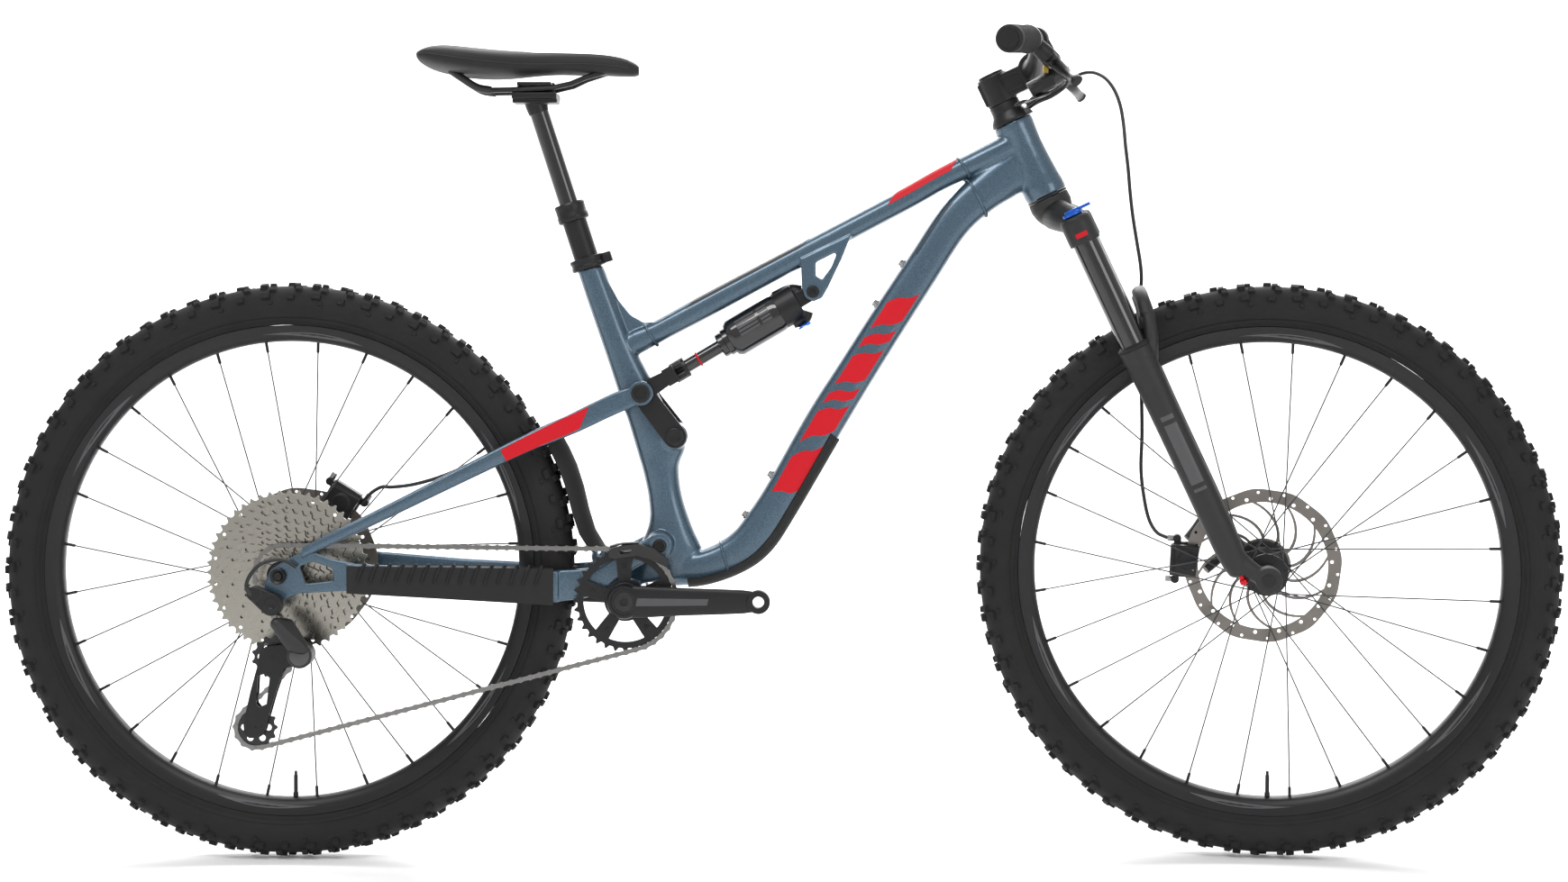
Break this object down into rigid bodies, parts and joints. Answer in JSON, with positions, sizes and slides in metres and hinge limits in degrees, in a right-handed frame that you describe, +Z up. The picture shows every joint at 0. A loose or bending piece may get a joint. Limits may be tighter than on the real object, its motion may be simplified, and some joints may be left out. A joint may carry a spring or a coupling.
{
  "type": "full-suspension mountain bike",
  "caption": "Full-suspension mountain bike with disc brakes, single chainring, wide-range cassette, fork, rear shock and dropper post; wheels, cranks, steering and suspension move.",
  "frame": {"origin": "on the ground midway between the two axles with the bars straight, in the frame's centre plane", "axes": "+X forward, +Y to the rider's left, +Z up"},
  "size_m": [2.0008, 0.7634, 1.0779],
  "materials": {
    "frame_paint": "metallic gloss",
    "black_anodised": "satin",
    "black_paint": "matte",
    "gloss_black": "polished black",
    "steel": "brushed",
    "cassette_metal": "satin champagne",
    "spoke_steel": "satin",
    "rubber": "matte",
    "tyre": "matte",
    "plastic": "matte",
    "saddle_cover": "matte synthetic",
    "blue_anodised": "satin",
    "red_anodised": "satin",
    "rotor_steel": "brushed"
  },
  "bodies": {
    "frame": {"down_tube": "frame_paint", "top_tube": "frame_paint", "seat_tube": "frame_paint", "head_tube": "frame_paint", "bottom_bracket": "black_anodised", "frame_hardware": "black_anodised", "dropper_outer": "black_anodised", "down_tube_guard": "rubber", "chain_guide": "plastic"},
    "dropper": {"seatpost_inner": "black_anodised", "saddle_rails": "steel", "saddle": "saddle_cover"},
    "steering": {"fork_crown": "black_paint", "stanchions": "gloss_black", "stem": "black_anodised", "handlebar": "black_anodised", "grips": "rubber", "brake_lever_bodies": "black_anodised", "bar_controls": "plastic", "bar_hoses": "plastic", "front_brake_hose": "plastic"},
    "lever_right": {"brake_lever_right": "black_anodised"},
    "lever_left": {"brake_lever_left": "black_anodised"},
    "shift_thumb": {"shift_paddle": "plastic"},
    "dropper_thumb": {"dropper_paddle": "plastic"},
    "compression": {"compression_knob": "blue_anodised"},
    "lowers": {"fork_lowers": "black_paint", "front_thru_axle": "black_anodised", "front_caliper": "black_anodised"},
    "rebound": {"rebound_knob": "red_anodised"},
    "front_wheel": {"front_tyre": "tyre", "front_rim": "black_anodised", "front_spokes": "spoke_steel", "front_hub": "black_anodised", "front_rotor": "rotor_steel"},
    "swingarm": {"chainstays": "frame_paint", "chainstay_guard": "rubber", "rear_thru_axle": "black_anodised", "mudguard": "rubber", "shift_cable": "plastic", "derailleur_body": "black_anodised", "chain": "steel"},
    "seatstay": {"seatstays": "frame_paint", "rear_caliper": "black_anodised"},
    "rocker_link": {"rocker": "black_anodised"},
    "shock_body": {"shock_can": "gloss_black"},
    "shock_knob": {"shock_lever": "blue_anodised"},
    "shock_rod": {"shock_shaft": "gloss_black"},
    "rear_wheel": {"rear_tyre": "tyre", "rear_rim": "black_anodised", "rear_spokes": "spoke_steel", "rear_hub": "black_anodised", "rear_rotor": "rotor_steel"},
    "cassette_body": {"cassette": "cassette_metal"},
    "cranks": {"crankset": "black_anodised", "chainring": "black_anodised"},
    "mech_link": {"derailleur_link": "black_anodised"},
    "mech_cage": {"derailleur_cage": "black_anodised"},
    "guide": {"guide_pulley": "plastic"},
    "tension": {"tension_pulley": "plastic"}
  },
  "joints": [
    {"name": "steering", "type": "hinge", "parent": "frame", "child": "steering", "pos_m": [0.58469, 0, 0.35087], "axis": [-0.4226, 0, 0.9063], "range_deg": [-62, 78]},
    {"name": "fork_travel", "type": "slide", "parent": "steering", "child": "lowers", "axis": [-0.4226, 0, 0.9063], "range_m": [0, 0.13], "deforming": ["front_brake_hose"]},
    {"name": "front_wheel_spin", "type": "hinge", "parent": "lowers", "child": "front_wheel", "pos_m": [0.62956, -0.00696, 0.37179], "axis": [0.1261, 0.9903, 0.0588], "continuous": true},
    {"name": "rear_suspension", "type": "hinge", "parent": "frame", "child": "swingarm", "pos_m": [-0.15, 0, 0.407], "axis": [0, 1, 0], "range_deg": [0, 15], "deforming": ["chain"]},
    {"name": "seatstay_flex", "type": "hinge", "parent": "swingarm", "child": "seatstay", "pos_m": [-0.59, 0, 0.4], "axis": [0, 1, 0], "range_deg": [-2.3, 0]},
    {"name": "rocker_swing", "type": "hinge", "parent": "frame", "child": "rocker_link", "pos_m": [-0.131, 0, 0.546], "axis": [0, 1, 0], "range_deg": [0, 40]},
    {"name": "shock_tilt", "type": "hinge", "parent": "frame", "child": "shock_body", "pos_m": [0.046, 0, 0.732], "axis": [0, 1, 0], "range_deg": [-2.3, 0]},
    {"name": "shock_stroke", "type": "slide", "parent": "shock_body", "child": "shock_rod", "axis": [0.8609, 0, 0.5087], "range_m": [0, 0.048]},
    {"name": "rear_wheel_spin", "type": "hinge", "parent": "swingarm", "child": "rear_wheel", "pos_m": [-0.63, 0, 0.372], "axis": [0, 1, 0], "continuous": true},
    {"name": "crank_spin", "type": "hinge", "parent": "frame", "child": "cranks", "pos_m": [-0.193, 0, 0.339], "axis": [0, 1, 0], "continuous": true},
    {"name": "cassette_spin", "type": "hinge", "parent": "swingarm", "child": "cassette_body", "pos_m": [-0.63, 0, 0.372], "axis": [0, 1, 0], "continuous": true},
    {"name": "derailleur_shift", "type": "hinge", "parent": "swingarm", "child": "mech_link", "pos_m": [-0.635, -0.09, 0.338], "axis": [1, 0, 0], "range_deg": [-3, 9]},
    {"name": "cage_swing", "type": "hinge", "parent": "mech_link", "child": "mech_cage", "pos_m": [-0.602, 0, 0.272], "axis": [0, 1, 0], "range_deg": [-6, 18]},
    {"name": "guide_spin", "type": "hinge", "parent": "mech_cage", "child": "guide", "pos_m": [-0.643, 0, 0.266], "axis": [0, 1, 0], "continuous": true},
    {"name": "tension_spin", "type": "hinge", "parent": "mech_cage", "child": "tension", "pos_m": [-0.664, 0, 0.176], "axis": [0, 1, 0], "continuous": true},
    {"name": "dropper_travel", "type": "slide", "parent": "frame", "child": "dropper", "axis": [-0.309, 0, 0.9511], "range_m": [-0.125, 0]},
    {"name": "front_brake_lever", "type": "hinge", "parent": "steering", "child": "lever_left", "pos_m": [0.38917, 0.21062, 1.03245], "axis": [0.6839, -0.1298, 0.7179], "range_deg": [0, 20], "stiffness_Nm_per_rad": 1},
    {"name": "rear_brake_lever", "type": "hinge", "parent": "steering", "child": "lever_right", "pos_m": [0.33266, -0.23302, 1.0061], "axis": [-0.6839, 0.1298, -0.7179], "range_deg": [0, 20], "stiffness_Nm_per_rad": 1},
    {"name": "shift_lever", "type": "hinge", "parent": "steering", "child": "shift_thumb", "pos_m": [0.32561, -0.20557, 0.96712], "axis": [0.4226, 0, -0.9063], "range_deg": [0, 25], "stiffness_Nm_per_rad": 0.5},
    {"name": "dropper_lever", "type": "hinge", "parent": "steering", "child": "dropper_thumb", "pos_m": [0.37184, 0.19054, 0.99971], "axis": [-0.4226, 0, 0.9063], "range_deg": [0, 25], "stiffness_Nm_per_rad": 0.5},
    {"name": "compression_turn", "type": "hinge", "parent": "steering", "child": "compression", "pos_m": [0.37333, -0.06828, 0.83159], "axis": [-0.4226, 0, 0.9063], "range_deg": [0, 180]},
    {"name": "rebound_turn", "type": "hinge", "parent": "lowers", "child": "rebound", "pos_m": [0.58971, -0.06828, 0.36756], "axis": [-0.4226, 0, 0.9063], "range_deg": [0, 340]},
    {"name": "shock_lever_turn", "type": "hinge", "parent": "shock_body", "child": "shock_knob", "pos_m": [0.03289, -0.003, 0.68824], "axis": [-0.5087, 0, 0.8609], "range_deg": [-60, 0]}
  ],
  "couplings": [
    {"joint": "seatstay_flex", "follows": "rear_suspension", "ratio": -0.1445},
    {"joint": "rocker_swing", "follows": "rear_suspension", "ratio": 2.628},
    {"joint": "shock_tilt", "follows": "rear_suspension", "ratio": -0.138},
    {"joint": "shock_stroke", "follows": "rear_suspension", "m_per_rad": 0.1806},
    {"joint": "cassette_spin", "follows": "crank_spin", "ratio": 1.7778},
    {"joint": "guide_spin", "follows": "crank_spin", "ratio": -2.4615},
    {"joint": "tension_spin", "follows": "crank_spin", "ratio": 2.4615},
    {"joint": "cage_swing", "follows": "derailleur_shift", "ratio": 2}
  ]
}
